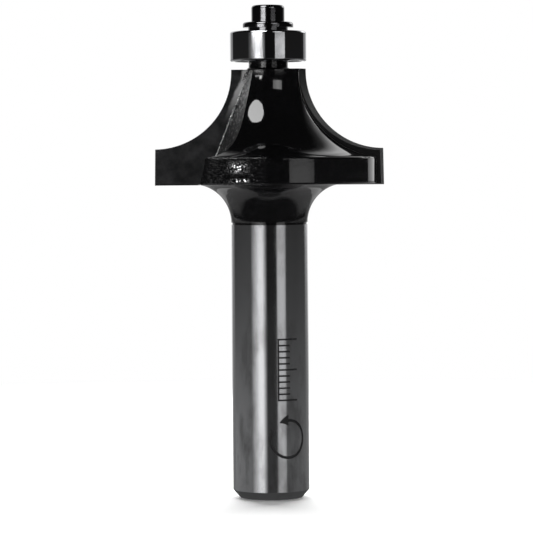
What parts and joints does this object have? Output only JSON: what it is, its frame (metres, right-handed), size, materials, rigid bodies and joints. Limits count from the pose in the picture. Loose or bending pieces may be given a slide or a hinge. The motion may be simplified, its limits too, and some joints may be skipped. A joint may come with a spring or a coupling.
{
  "type": "router bit",
  "caption": "Rounding-over router bit for wood: straight ground shank, black coated head with brazed carbide tips, and a ball-bearing guide held by a cap screw.",
  "frame": {"origin": "centre of the shank's flat end face, which the bit stands on", "axes": "+Z along the spin axis from the shank's end to the guide bearing; X across the two cutting tips; the tip on the -X side has its rake face towards -Y"},
  "size_m": [0.038, 0.036, 0.0816],
  "materials": {
    "coated_steel": "ground steel shank; glossy black baked coating on the head",
    "carbide": "finely ground matte dark grey tungsten carbide",
    "braze": "dull silver braze",
    "bearing_steel": "polished hardened steel",
    "ball_steel": "mirror polished steel",
    "cage_steel": "plain pressed steel",
    "shield_steel": "satin steel sheet",
    "black_oxide": "black oxide, slightly glossy"
  },
  "bodies": {
    "cutter": {"cutter_body": "coated_steel", "carbide_tip_left": "carbide", "carbide_tip_right": "carbide", "braze_seam_left": "braze", "braze_seam_right": "braze", "bearing_inner_ring": "bearing_steel", "spacer_washer": "black_oxide", "screw_washer": "black_oxide", "cap_screw": "black_oxide"},
    "outer_ring": {"bearing_outer_ring": "bearing_steel", "bearing_shield_top": "shield_steel", "bearing_shield_bottom": "shield_steel"},
    "cage": {"ball_cage": "cage_steel"},
    "ball_1": {"bearing_ball_1": "ball_steel"},
    "ball_2": {"bearing_ball_2": "ball_steel"},
    "ball_3": {"bearing_ball_3": "ball_steel"},
    "ball_4": {"bearing_ball_4": "ball_steel"},
    "ball_5": {"bearing_ball_5": "ball_steel"},
    "ball_6": {"bearing_ball_6": "ball_steel"},
    "ball_7": {"bearing_ball_7": "ball_steel"}
  },
  "joints": [
    {"name": "guide_spin", "type": "hinge", "parent": "cutter", "child": "outer_ring", "pos_m": [0, 0, 0.07481], "axis": [0, 0, 1], "continuous": true},
    {"name": "cage_spin", "type": "hinge", "parent": "cutter", "child": "cage", "pos_m": [0, 0, 0.07481], "axis": [0, 0, 1], "continuous": true},
    {"name": "ball_1_spin", "type": "hinge", "parent": "cage", "child": "ball_1", "pos_m": [0.00437, 0, 0.07481], "axis": [0, 0, 1], "continuous": true},
    {"name": "ball_2_spin", "type": "hinge", "parent": "cage", "child": "ball_2", "pos_m": [0.00272, 0.00341, 0.07481], "axis": [0, 0, 1], "continuous": true},
    {"name": "ball_3_spin", "type": "hinge", "parent": "cage", "child": "ball_3", "pos_m": [-0.00097, 0.00426, 0.07481], "axis": [0, 0, 1], "continuous": true},
    {"name": "ball_4_spin", "type": "hinge", "parent": "cage", "child": "ball_4", "pos_m": [-0.00393, 0.00189, 0.07481], "axis": [0, 0, 1], "continuous": true},
    {"name": "ball_5_spin", "type": "hinge", "parent": "cage", "child": "ball_5", "pos_m": [-0.00393, -0.00189, 0.07481], "axis": [0, 0, 1], "continuous": true},
    {"name": "ball_6_spin", "type": "hinge", "parent": "cage", "child": "ball_6", "pos_m": [-0.00097, -0.00426, 0.07481], "axis": [0, 0, 1], "continuous": true},
    {"name": "ball_7_spin", "type": "hinge", "parent": "cage", "child": "ball_7", "pos_m": [0.00272, -0.00341, 0.07481], "axis": [0, 0, 1], "continuous": true}
  ],
  "couplings": [
    {"joint": "cage_spin", "follows": "guide_spin", "ratio": 0.63635},
    {"joint": "ball_1_spin", "follows": "guide_spin", "ratio": 1.6972},
    {"joint": "ball_2_spin", "follows": "guide_spin", "ratio": 1.6972},
    {"joint": "ball_3_spin", "follows": "guide_spin", "ratio": 1.6972},
    {"joint": "ball_4_spin", "follows": "guide_spin", "ratio": 1.6972},
    {"joint": "ball_5_spin", "follows": "guide_spin", "ratio": 1.6972},
    {"joint": "ball_6_spin", "follows": "guide_spin", "ratio": 1.6972},
    {"joint": "ball_7_spin", "follows": "guide_spin", "ratio": 1.6972}
  ]
}
